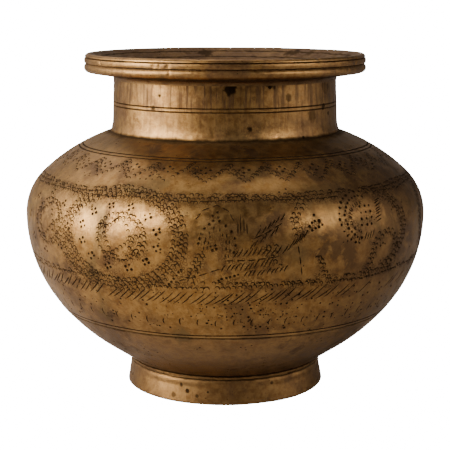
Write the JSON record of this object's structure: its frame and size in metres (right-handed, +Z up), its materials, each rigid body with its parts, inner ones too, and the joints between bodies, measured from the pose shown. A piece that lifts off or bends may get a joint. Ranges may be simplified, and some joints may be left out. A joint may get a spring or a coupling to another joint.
{
  "type": "brass water pot",
  "caption": "Round-bellied brass lota with a collar neck, a flared beaded rim and a foot ring, its belly punched with medallions and leaves.",
  "frame": {"origin": "centre of the foot ring's lower face, on the pot's axis", "axes": "+Z up along the pot's axis of revolution; +X and +Y are any two square directions across it, with the leaf motif between two medallions facing -Y"},
  "size_m": [0.19, 0.19, 0.1586],
  "materials": {
    "belly_brass": "aged satin brass, beaten, punched with fine crescents and dots, dark dirt in the marks",
    "bowl_brass": "aged satin brass, scraped smooth, brown patina",
    "neck_brass": "aged brass with upright scratches and a turned double line",
    "rim_brass": "cast and turned brass, worn bright on the beads, greenish stains in the dish",
    "foot_brass": "cast brass, pitted, dark along its worn lower edge",
    "braze": "rough braze, dirty"
  },
  "bodies": {
    "root": {"foot_ring": "foot_brass", "foot_braze": "braze", "bowl_bottom": "bowl_brass", "seam_braze": "braze", "belly_shell": "belly_brass", "neck_braze": "braze", "neck_collar": "neck_brass", "rim_braze": "braze", "rim_ring": "rim_brass"}
  },
  "joints": []
}
